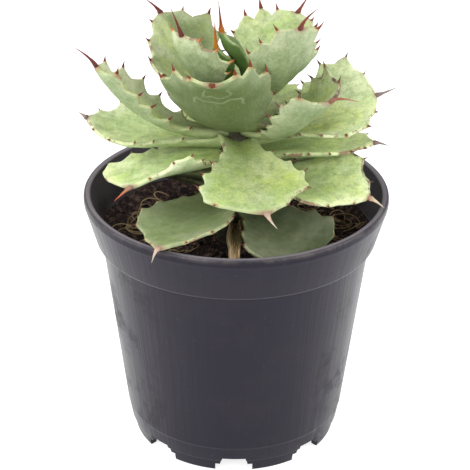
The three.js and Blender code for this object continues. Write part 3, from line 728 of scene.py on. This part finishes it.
def leafSkin():
    material, tree = newMaterial("leafSkin", Subsurface_Weight=0.08, Subsurface_Scale=0.002,
                                 Specular_IOR_Level=0.35)
    where = objectPlace(tree)
    along, gap, paintedShade = reading(tree, "along"), reading(tree, "edgeGap"), reading(tree, "paintedShade")
    bloom = effect(patches, where, Scale=55.0, Low=0.42, High=0.68)
    yellow = effect(patches, where, Scale=38.0, Low=0.42, High=0.6)
    deep = effect(patches, where, Scale=75.0, Low=0.46, High=0.72)
    lines = effect(streaks, surfacePlace(tree), Scale=900.0, Stretch=0.05)
    specks = effect(flecks, where, Scale=170.0, Size=0.16, Share=0.14)
    broken = effect(patches, where, Scale=130.0, Low=0.4, High=0.6)
    mottle = effect(patches, where, Scale=240.0, Low=0.42, High=0.66)
    broad = effect(patches, where, Scale=30.0, Low=0.46, High=0.64)
    powder = cloud(where, 1100.0, 2.0)
    ridge = budPrint(tree, where)
    veil = times(reading(tree, "haze"), span(cloud(where, 60.0), 0.38, 0.6, 0.3, 1.0))
    # a deep green that is strongest away from the margins: partly the leaf's own colour, partly painted
    # shade
    lushAndShade = times(reading(tree, "lushAndShade"), span(gap, 1.0, 12.0, 0.25, 0.85))
    inner = layered(leafFinish["innerGreen"], leafFinish, [
        (yellow, "innerYellow"), (times(deep, 0.8), "innerDeep"), (times(bloom, 0.55), "bloom")])
    outside = layered(leafFinish["outerGreen"], leafFinish, [
        (plus(times(bloom, 0.7), 0.15), "outerBlue"), (times(deep, 0.5), "innerDeep")])
    colour = layered(blend(reading(tree, "outer"), inner, outside), leafFinish, [
        (times(veil, span(gap, 11.0, 1.5, 0.45, 1.0)), "bloom"),
        # darker and greener towards the root: partly the bases' own deeper green, partly painted shade
        # where the leaf bases crowd round the stem
        (span(along, 0.5, 0.08, 0.0, 0.8), "root"),
        (lushAndShade, "lushAndShade"),
        (times(mottle, 0.5), "innerDeep"),
        (span(lines, 0.45, 0.75, 0.0, 0.12), "bloom"),
        (span(gap, 6.0, 0.5, 0.0, 0.2), "bloom"),
        (span(powder, 0.5, 0.72, 0.0, 0.2), "bloom"),
        (span(powder, 0.47, 0.3, 0.0, 0.3), "innerDeep"),
        (times(lushAndShade, 0.6), "lushAndShade"),
        (times(ridge, 0.26), "print"),
        # painted shade on leaves whose shade value is above 0, with dusty patches that grow as strong as
        # that painted shade
        (times(paintedShade, 1.0, True), "shade"),
        (times(times(paintedShade, 0.75, True), broad), "dusty")])
    paintedSunGain = plus(times(paintedShade, -1.0, True), 1.0)  # a leaf whose shade value is below 0 gets painted sunlight: its colour is scaled up
    colour = place(tree, "ShaderNodeVectorMath", {0: colour, "Scale": paintedSunGain}, operation="SCALE").outputs[0]
    rim = times(span(gap, 0.9, 0.15, 0.0, 0.6), span(broken, 0.0, 1.0, 0.2, 1.0))
    colour = layered(colour, leafFinish, [
        (reading(tree, "young"), "young"),
        (rim, "margin"),
        (times(span(reading(tree, "teat"), 0.66, 0.96), 0.75), "toothFoot"),
        (times(span(gap, 1.1, 0.1), span(deep, 0.25, 0.5, 0.0, 0.95)), "dry"),
        (span(along, 0.965, 0.998, 0.0, 0.75), "dry"),
        (times(span(reading(tree, "scar"), 0.1, 0.5), broken), "scar"),
        (times(specks, 0.5), "toothFoot")])
    height = plus(times(lines, 0.6), times(cloud(where, 1500.0, 3.0), 0.25))
    height = plus(height, times(cloud(where, 120.0), 1.2))
    height = plus(height, times(ridge, 0.8))
    return finishMaterial(material, colour, span(bloom, 0.0, 1.0, 0.5, 0.68), height, 0.4, 0.0007)


def hornSkin():
    material, tree = newMaterial("hornSkin", Specular_IOR_Level=0.22)
    horn = place(tree, "ShaderNodeAttribute", attribute_name="horn").outputs["Color"]
    lines = effect(streaks, surfacePlace(tree), Scale=2500.0, Stretch=0.08)
    dusty = effect(patches, objectPlace(tree), Scale=400.0, Low=0.5, High=0.8)
    colour = layered(horn, hornLook, [
        (span(lines, 0.35, 0.7, 0.0, 0.35), "line"), (times(dusty, 0.06), "dust")])
    return finishMaterial(material, colour, span(dusty, 0.0, 1.0, 0.32, 0.6), lines, 0.3, 0.0002)


leafGreen = leafSkin()
hornBrown = hornSkin()
for index, leaf in enumerate(leaves, 1):
    number = f"{index:02d}"
    body = leafMesh(f"leafBlade_{number}", leaf, index, leafGreen)
    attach(body, "root")
    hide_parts(f"leaf_{number}")
    point = spineMesh(f"endSpine_{number}", leaf, index, hornBrown)
    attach(point, "root")
    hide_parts(f"spine_{number}")
    if leaf["teat"]:
        row = teethMesh(f"marginTeeth_{number}", leaf, index, hornBrown)
        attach(row, "root")
print("leaves, teeth and spines grown")


# pot, with sizes in mm from the base up

pot = {"height": 114, "rimRadius": 65, "lip": 3, "wall": 1.6, "collarRadius": 60.2, "collarHeight": 20.4,
       "shoulderRadius": 57.7, "bandHeight": 13, "bandRadius": 47.7, "footTop": 5.4, "footRadius": 46.2,
       "soleRadius": 44.5, "soleWidth": 3.2, "floor": 8, "notches": 8, "notchWidth": (16, 10),
       "notchHeight": (3.4, 7.2), "notchDepth": (6, 14), "drainRadius": 4, "drainCircle": 30,
       "drainSides": 40, "drainDepth": 6, "segments": 240, "arcRadius": 0.055,
       "rimDirt": 2.2, "rimWear": 1.2, "edgeWear": 0.5,
       # inner: the inside wall is painted far lighter than the plastic, as painted light on the shaded
       # inner wall
       "plastic": (0.0055, 0.0047, 0.009), "worn": (0.06, 0.058, 0.068), "inner": (0.20, 0.18, 0.21),
       "dust": (0.16, 0.14, 0.12), "dirtAndShade": (0.055, 0.035, 0.025)}


def bodyRadiusAt(z):
    shoulder = pot["height"] - pot["collarHeight"]
    share = (z - pot["bandHeight"]) / (shoulder - pot["bandHeight"])
    return mix(pot["bandRadius"], pot["shoulderRadius"], share)


def rounded(corners, steps=4):  # corners are (radius, height, fillet); returns the filleted outline
    outline = []
    for i, (r, z, fillet) in enumerate(corners):
        here = np.array([r, z], float)
        if fillet == 0:
            outline.append(here)
            continue
        ends = []
        for near in (corners[i - 1], corners[i + 1]):
            toward = np.array(near[:2], float) - here
            far = np.linalg.norm(toward)
            ends.append(here + toward / far * min(fillet, far * 0.45))
        for t in np.linspace(0, 1, steps + 1):
            outline.append((1 - t) ** 2 * ends[0] + 2 * t * (1 - t) * here + t * t * ends[1])
    return np.array(outline)


def latheShape(outline, segments):  # closed outline that starts and ends on the axis
    turn = turnOf(segments)
    inner = outline[1:-1]
    points = [(0, 0, outline[0][1]), (0, 0, outline[-1][1])]
    for r, z in inner:
        points.extend(zip(r * np.cos(turn), r * np.sin(turn), np.full(segments, z)))
    faces = []
    last = 2 + (len(inner) - 1) * segments
    for i in range(segments):
        j = (i + 1) % segments
        faces.append((0, 2 + j, 2 + i))
        faces.append((1, last + i, last + j))
        for k in range(len(inner) - 1):
            a = 2 + k * segments
            faces.append((a + i, a + j, a + segments + j, a + segments + i))
    return np.array(points), faces


def cutAway(piece, cutters):  # boolean cuts, applied to the mesh
    for cutter in cutters:
        cut = piece.modifiers.new(cutter.name, "BOOLEAN")
        cut.object = cutter
        cut.operation = "DIFFERENCE"
        cut.solver = "EXACT"
    bpy.context.view_layer.update()
    finished = bpy.data.meshes.new_from_object(piece.evaluated_get(bpy.context.evaluated_depsgraph_get()))
    piece.modifiers.clear()
    piece.data = finished
    for cutter in cutters:
        bpy.data.objects.remove(cutter)
    finished.set_sharp_from_angle(angle=math.radians(35))


def prism(outline, depth):  # outline in X and Z, drawn out along +Y
    count = len(outline)
    points = [(x, 0, z) for x, z in outline] + [(x, depth, z) for x, z in outline]
    faces = [tuple(range(count)), tuple(range(count, 2 * count))[::-1]]
    faces += [(i, (i + 1) % count, count + (i + 1) % count, count + i) for i in range(count)]
    return np.array(points, float), faces


def turned(points, degrees):
    a = math.radians(degrees)
    return points @ np.array([[math.cos(a), math.sin(a), 0], [-math.sin(a), math.cos(a), 0], [0, 0, 1]])


def potSkin():
    material, tree = newMaterial("potPlastic", Specular_IOR_Level=0.25,
                                 Specular_Tint=(0.86, 0.80, 1.0, 1.0))
    where, unrolled, inside = objectPlace(tree), surfacePlace(tree), reading(tree, "inside")
    flow = effect(streaks, unrolled, Scale=160.0, Stretch=0.03)
    fine = effect(streaks, unrolled, Scale=1800.0, Stretch=0.02)
    # light dust patches that also paint the faint mottled sheen of the plastic; they vary the roughness too
    dust = effect(patches, where, Scale=42.0, Low=0.45, High=0.75)
    grit = effect(flecks, where, Scale=420.0, Size=0.2, Share=0.10)
    patchy = effect(patches, where, Scale=70.0, Low=0.35, High=0.65)
    # darker and browner down the inside wall towards the soil, in patches: partly soil stains, partly
    # painted shade deeper in the pot
    stainAndShade = times(inside, span(reading(tree, "height"), 108.0, 92.0))
    rimDirt = times(reading(tree, "rim"), patchy)
    colour = layered(pot["plastic"], pot, [
        # wear, then dust patches that are partly painted sheen
        (times(reading(tree, "wear"), 0.6), "worn"), (times(dust, 0.05), "dust"),
        # grit, then painted light on the shaded inside wall
        (times(grit, 0.12), "dust"), (times(inside, 0.7), "inner"),
        # stains and painted shade low on the inside wall, then dust on the rim
        (times(stainAndShade, patchy), "dirtAndShade"), (times(rimDirt, 0.35), "dust")])
    rough = plus(span(dust, 0.0, 1.0, 0.3, 0.55), times(inside, 0.2))
    height = plus(flow, times(fine, 0.12))
    height = plus(height, times(cloud(where, 2200.0, 2.0), 0.05))
    return finishMaterial(material, colour, rough, height, 0.25, 0.0012)


def potOutline():  # the half section, from the middle of the floor's underside round to its upper side
    sole, wall, top, rim = pot["soleRadius"], pot["wall"], pot["height"], pot["rimRadius"]
    collar, floor, band = top - pot["collarHeight"], pot["floor"], pot["bandHeight"]
    return rounded([
        (0, floor, 0), (sole - pot["soleWidth"], floor, 0.8), (sole - pot["soleWidth"], 0, 0.5),
        (sole, 0, 0.6), (pot["footRadius"] - 0.9, pot["footTop"], 0.4),
        (pot["footRadius"], pot["footTop"] + 0.3, 0.4), (pot["bandRadius"] - 0.25, band - 0.3, 0.3),
        (pot["bandRadius"], band + 0.3, 0.3), (pot["shoulderRadius"], collar, 0.3),
        (pot["collarRadius"] - 0.4, collar, 0.3), (pot["collarRadius"], collar + 0.6, 0.5),
        (rim - 0.4, top - 4.2, 0.6), (rim, top - 3.0, 0.8), (rim - 0.1, top, 1.5),
        (rim - pot["lip"], top, 1.2), (rim - pot["lip"] - 0.1, top - 1.4, 0.4),
        (pot["collarRadius"] - wall, collar + wall, 0.8),
        (pot["shoulderRadius"] - wall, collar - wall, 0.8),
        (bodyRadiusAt(floor + wall) - wall, floor + wall, 1.2), (0, floor + wall, 0)])


def cuttersOf(material):  # the stepped notches of the foot and the drain holes between them
    low, high = pot["notchHeight"]
    wide, narrow = (w / 2 for w in pot["notchWidth"])
    opening = [(-wide, -1), (wide, -1), (wide, low), (narrow + 1, low), (narrow, high), (-narrow, high),
               (-narrow - 1, low), (-wide, low)]
    circle = [(pot["drainRadius"] * math.cos(t), pot["drainRadius"] * math.sin(t))
              for t in turnOf(pot["drainSides"])]
    outward, depth = pot["notchDepth"]
    cutters = []
    step = 360 / pot["notches"]
    for i in range(pot["notches"]):
        notch, sides = prism(opening, depth)
        notch = turned(notch + np.array([0, -outward - pot["soleRadius"], 0]), step * i)
        cutters.append(meshObject(f"notchCutter_{i}", notch * mm, sides, material))
        hole, sides = prism(circle, pot["drainDepth"])
        hole = hole[:, [0, 2, 1]] + np.array([0, -pot["drainCircle"], pot["floor"] - 2])
        cutters.append(meshObject(f"drainCutter_{i}", turned(hole, step * (i + 0.5)) * mm, sides, material))
    return cutters


def makePot():
    material = potSkin()
    points, faces = latheShape(potOutline(), pot["segments"])
    piece = meshObject("potBody", points * mm, faces, material)
    cutAway(piece, cuttersOf(material))
    mesh = piece.data
    at = np.empty(len(mesh.vertices) * 3, np.float32)
    mesh.vertices.foreach_get("co", at)
    x, y, z = at.reshape(-1, 3).T / mm
    top, collar = pot["height"], pot["height"] - pot["collarHeight"]
    flare = mix(pot["collarRadius"], pot["rimRadius"], (z - collar) / pot["collarHeight"])
    outside = np.where(z > collar, flare, bodyRadiusAt(z))
    values = {"inside": (np.hypot(x, y) < outside - pot["wall"] * 0.6) & (z > pot["floor"] + 1),
              "height": z, "rim": unit((z - top + pot["rimDirt"]) / 1.6),
              "wear": np.maximum(unit((z - top + pot["rimWear"]) / pot["rimWear"]),
                                 unit(1 - np.abs(z - collar - 0.3) / pot["edgeWear"]))}
    for label, column in values.items():
        layer = mesh.attributes.new(label, "FLOAT", "POINT")
        layer.data.foreach_set("value", column.astype(np.float32))
    unrollPot(mesh)
    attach(piece, "root")
    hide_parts("pot")


def unrollPot(mesh):  # height and arc length as metric surface coordinates
    layer = mesh.uv_layers.new(name="metric")
    for face in mesh.polygons:
        middle = math.atan2(face.center.y, face.center.x)
        for loop in face.loop_indices:
            x, y, z = mesh.vertices[mesh.loops[loop].vertex_index].co
            arc = (math.atan2(y, x) - middle + math.pi) % (2 * math.pi) - math.pi + middle
            layer.data[loop].uv = (z, arc * pot["arcRadius"])


makePot()
print("pot turned and cut")


# soil, stem and the dry leaf

soil = {"level": 92, "lump": 1.5, "lumpScale": 0.09, "grain": 0.6, "grainScale": 0.4, "banked": 3.2,
        "bankWidth": 6.5, "ledge": 58.1, "wallGap": 0.6, "rings": 66, "segments": 160, "seed": 5,
        "crumbs": 1500, "crumbSizes": (0.35, 0.5, 0.5, 0.8, 1.3), "rootSides": 6, "wallKept": 1.5,
        "dark": (0.035, 0.023, 0.022), "brown": (0.36, 0.235, 0.18), "root": (0.88, 0.64, 0.33),
        "grit": (0.14, 0.09, 0.055),
        "rootlets": {"count": 60, "points": 16, "nearest": 0.45, "stride": 0.9, "arch": 1.1, "curl": 0.35,
                     "curlChange": 0.18, "radii": (0.26, 0.12)},
        "rootLoops": {"count": 40, "points": 22, "reach": (0.72, 0.88), "size": (3.0, 8.5),
                      "sweep": (120, 290), "stands": 1.6, "radii": (0.31, 0.15), "smoothings": 24,
                      "stray": 9, "around": (-160, -146, -38, -20, 4, 12, 20, 28, 95, 140, 152, 160,
                                             168, 176)}}


def soilHeight(x, y):  # banked up against the wall, over the ledge inside the collar
    rough = noise.fractal(Vector((x, y, 3.1)) * soil["lumpScale"], 1.0, 2.0, 4) * soil["lump"]
    rough += noise.fractal(Vector((x, y, 8.2)) * soil["grainScale"], 0.9, 2.0, 3) * soil["grain"]
    bank = min(max((math.hypot(x, y) - soil["ledge"] + soil["bankWidth"]) / soil["bankWidth"], 0), 1)
    return soil["level"] + rough * (1 - 0.6 * bank) - 0.3 + soil["banked"] * bank ** 1.5


def soilSkin():
    material, tree = newMaterial("pottingSoil", Specular_IOR_Level=0.2)
    where = objectPlace(tree)
    lumps = effect(patches, where, Scale=420.0, Low=0.46, High=0.68)
    grit = effect(flecks, where, Scale=500.0, Size=0.25, Share=0.2)
    colour = layered(soil["dark"], soil, [
        (lumps, "brown"), (times(grit, 0.35), "grit"), (reading(tree, "rooty"), "root")])
    height = plus(cloud(where, 700.0, 5.0, 0.7), times(lumps, 0.5))
    return finishMaterial(material, colour, span(lumps, 0.0, 1.0, 0.8, 0.95), height, 1.0, 0.002)


def soilBody():  # an uneven top over a plain plug that keeps clear of the wall
    inset = pot["wall"] + soil["wallGap"]
    bottom = pot["floor"] + pot["wall"] + 0.3
    turn, count = turnOf(soil["segments"]), soil["segments"]
    points, faces = [(0, 0, soilHeight(0, 0))], []
    for r in np.linspace(0, soil["ledge"], soil["rings"] + 1)[1:]:
        ring = [(r * math.cos(a), r * math.sin(a)) for a in turn]
        points += [(x, y, soilHeight(x, y)) for x, y in ring]
    for z in (soil["level"] - 1.6, bottom):
        r = bodyRadiusAt(z) - inset
        points += [(r * math.cos(a), r * math.sin(a), z) for a in turn]
    points.append((0, 0, bottom))
    last = len(points) - 1
    for i in range(count):
        j = (i + 1) % count
        faces.append((0, 1 + i, 1 + j))
        for k in range(soil["rings"] + 1):
            a = 1 + k * count
            faces.append((a + i, a + count + i, a + count + j, a + j))
        faces.append((last, last - count + j, last - count + i))
    return np.array(points), faces


def makeSoil():
    random.seed(soil["seed"])
    edge = soil["ledge"]
    shapes = [soilBody()]
    rooty = [np.zeros(len(shapes[0][0]))]
    for i in range(soil["crumbs"]):
        r, a = edge * math.sqrt(random.random()) * 0.99, random.uniform(0, 2 * math.pi)
        if r > edge - 2:
            continue
        size = random.choice(soil["crumbSizes"]) * random.uniform(0.7, 1.2)
        at = (r * math.cos(a), r * math.sin(a))
        shapes.append(crumb((*at, soilHeight(*at) + size * 0.2), size))
        rooty.append(np.zeros(len(shapes[-1][0])))
    fine, wide = soil["rootlets"]["count"], soil["rootLoops"]["count"]
    for i in range(fine + wide):
        shapes.append(rootlet(edge) if i < fine else rootLoop(i, edge))
        rooty.append(np.full(len(shapes[-1][0]), random.uniform(0.5, 1.0)))
    points, faces = joinShapes(shapes)
    piece = meshObject("soilBed", points * mm, faces, soilSkin(), {"rooty": np.concatenate(rooty)})
    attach(piece, "root")
    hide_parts("soil")


def crumb(at, size):  # a small uneven lump
    ball = bmesh.new()
    bmesh.ops.create_icosphere(ball, subdivisions=1, radius=size)
    stretch = Vector((random.uniform(0.7, 1.4), random.uniform(0.7, 1.3), random.uniform(0.5, 0.9)))
    points = []
    for corner in ball.verts:
        dent = 1 + 0.35 * random.uniform(-1, 1)
        points.append([at[k] + corner.co[k] * stretch[k] * dent for k in range(3)])
    ball.verts.index_update()
    faces = [tuple(v.index for v in face.verts) for face in ball.faces]
    ball.free()
    return np.array(points), faces


def rootlet(edge):  # a thin curly root that lies on the soil
    look = soil["rootlets"]
    far, angle = random.uniform(edge * look["nearest"], edge - 3), random.uniform(0, 2 * math.pi)
    x, y = far * math.cos(angle), far * math.sin(angle)
    course, curl = random.uniform(0, 2 * math.pi), random.uniform(-look["curl"], look["curl"])
    path, last = [], look["points"] - 1
    for k in range(look["points"]):
        arch = look["arch"] * math.sin(math.pi * k / last) * random.uniform(0.7, 1.0)
        path.append((x, y, soilHeight(x, y) + 0.1 + arch))
        curl += random.uniform(-look["curlChange"], look["curlChange"])
        course += curl
        x, y = x + look["stride"] * math.cos(course), y + look["stride"] * math.sin(course)
        if math.hypot(x, y) > edge - 1.2:
            course += 1.6
            x, y = x * 0.96, y * 0.96
    return tubeAlong(path, np.linspace(*look["radii"], len(path)), soil["rootSides"])


def rootLoop(index, edge):  # a wider loop of root that stands out of the soil near the wall
    look = soil["rootLoops"]
    side = random.choice(look["around"]) + random.uniform(-look["stray"], look["stray"])
    far, size = random.uniform(*look["reach"]) * edge, random.uniform(*look["size"])
    centre = polar(far, side, 0)[:2]
    first, sweep = random.uniform(0, 360), random.choice((-1, 1)) * random.uniform(*look["sweep"])
    path, last = [], look["points"] - 1
    for k in range(look["points"]):
        r = size * (0.75 + 0.5 * k / last + 0.06 * math.sin(k * 0.9 + index))
        x, y = np.array(centre) + polar(r, first + sweep * k / last, 0)[:2]
        reach = math.hypot(x, y)
        if reach > edge - soil["wallKept"]:
            x, y = x * (edge - soil["wallKept"]) / reach, y * (edge - soil["wallKept"]) / reach
        stands = look["stands"] * math.sin(math.pi * k / last)
        path.append((x, y, soilHeight(x, y) + 0.2 + stands))
    path = np.array(path)
    for _ in range(look["smoothings"]):
        path[1:-1] = (path[:-2] + 2 * path[1:-1] + path[2:]) / 4
    return tubeAlong(path, np.linspace(*look["radii"], len(path)), soil["rootSides"])


makeSoil()


# the stem's core inside the leaves' roots, marked with the scars of old leaves; its colours are kept very
# dark, partly the bark's own brown and partly painted shade deep among the leaf bases
stemLook = {"rings": 90, "sides": 48, "inset": 0.6, "lowest": 103, "flare": 147, "neck": 159, "tip": 163.4,
            "tipRadius": 1.7, "neckInset": 1.6, "footTaper": (1.7, 6.5),
            "scarSpacing": 4.2, "scarWidth": 0.12, "scarDepth": 0.35, "scarTilt": 1.2,
            "barkAndShade": (0.045, 0.038, 0.025), "green": (0.085, 0.095, 0.05), "groove": (0.05, 0.035, 0.02)}


def stemSkin():
    material, tree = newMaterial("stemBarkAndShade", Specular_IOR_Level=0.3)
    mottled = effect(patches, objectPlace(tree), Scale=200.0, Low=0.4, High=0.65)
    colour = layered(stemLook["barkAndShade"], stemLook, [
        (mottled, "green"), (reading(tree, "groove"), "groove")])
    return finishMaterial(material, colour, span(mottled, 0.0, 1.0, 0.8, 0.6), mottled, 0.4, 0.0006)


def makeStem():
    foot, tip, thin = soil["level"] - 1.2, stemLook["tip"], stemLook["tipRadius"]
    lowest, flare, neck = stemLook["lowest"], stemLook["flare"], stemLook["neck"]
    widest = stemRadiusAt(lowest) - stemLook["inset"]
    inward, up = stemLook["footTaper"]
    outline = [(widest - inward, foot), (widest, foot + up), (widest, lowest),
               (stemRadiusAt(flare) - stemLook["inset"], flare),
               (stemRadiusAt(neck) - stemLook["neckInset"], neck), (thin, tip)]
    heights = np.linspace(foot, tip, stemLook["rings"])
    radii = np.interp(heights, [z for r, z in outline], [r for r, z in outline])
    turn = turnOf(stemLook["sides"])
    tilted = heights[:, None] + stemLook["scarTilt"] * np.sin(2 * turn + 0.7)[None, :]
    groove = np.exp(-((tilted / stemLook["scarSpacing"] % 1 - 0.5) / stemLook["scarWidth"]) ** 2)
    r = radii[:, None] - stemLook["scarDepth"] * groove
    points = np.stack([r * np.cos(turn), r * np.sin(turn), np.repeat(heights[:, None], len(turn), 1)], 2)
    piece = meshObject("stemCore", points.reshape(-1, 3) * mm, tubeFaces(*r.shape), stemSkin(),
                       {"groove": groove.ravel() * 0.7})
    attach(piece, "root")
    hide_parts("stem")


makeStem()


dryLook = {"leaf": dict(azimuth=-91, reach=56, tip=108.5, foot=103, lean=8, tilt=6, width=8, base=0.9,
                        shoulders=(0.4, 0.5), cup=(100, 70)),
           "strips": 9, "rows": 60, "sides": 8, "seed": 11, "flat": 0.55,
           "wave": 0.35, "stray": 0.3, "thickness": (0.8, 1.15), "tint": (0, 0.35),
           "spread": ((0, 0.4, 1), (0.8, 1, 0.45)), "radii": ((0, 0.1, 0.85, 1), (0.9, 0.85, 0.6, 0.15)),
           "tan": (0.66, 0.46, 0.24), "brown": (0.12, 0.066, 0.03), "pale": (0.80, 0.64, 0.42)}


def drySkin():
    material, tree = newMaterial("dryFibre", Specular_IOR_Level=0.3)
    lines = effect(streaks, surfacePlace(tree), Scale=2600.0, Stretch=0.05)
    colour = layered(dryLook["brown"], dryLook, [
        (span(lines, 0.35, 0.65), "tan"), (reading(tree, "tint"), "pale")])
    height = plus(lines, cloud(objectPlace(tree), 900.0))
    return finishMaterial(material, colour, span(lines, 0.3, 0.7, 0.85, 0.65), height, 0.5, 0.0004)


def makeDryLeaf():  # rolled strips of fibre along one midrib
    random.seed(dryLook["seed"])
    leaf, sides = dryLook["leaf"], dryLook["sides"]
    midrib = Midrib(leaf)
    shapes, tints, metric = [], [], []
    s = np.linspace(0.0, 1.0, dryLook["rows"])
    for k in range(dryLook["strips"]):
        q = (k / (dryLook["strips"] - 1) - 0.5) * leaf["width"] * 0.92
        q = q * (0.9 + 0.1 * np.sin(s * 7 + k)) * np.interp(s, *dryLook["spread"])
        lift = dryLook["wave"] * np.sin(s * (9 + k) + k * 1.7)
        lift = lift + random.uniform(-dryLook["stray"], dryLook["stray"])
        path = surfacePoints(leaf, midrib, s, q, lift)
        radius = np.interp(s, *dryLook["radii"]) * random.uniform(*dryLook["thickness"])
        shapes.append(tubeAlong(path, radius, sides, flat=dryLook["flat"]))
        tints.append(np.full(len(s) * sides, random.uniform(*dryLook["tint"])))
        around = np.tile(np.arange(sides) * 0.5, len(s)) + k * 5
        metric.append(np.stack([np.repeat(s * midrib.length, sides), around], 1))
    points, faces = joinShapes(shapes)
    piece = meshObject("dryLeafStrips", points * mm, faces, drySkin(), {"tint": np.concatenate(tints)},
                       np.concatenate(metric) * mm)
    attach(piece, "root")
    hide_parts("dry_leaf")


makeDryLeaf()
print("soil, stem and dry leaf laid")
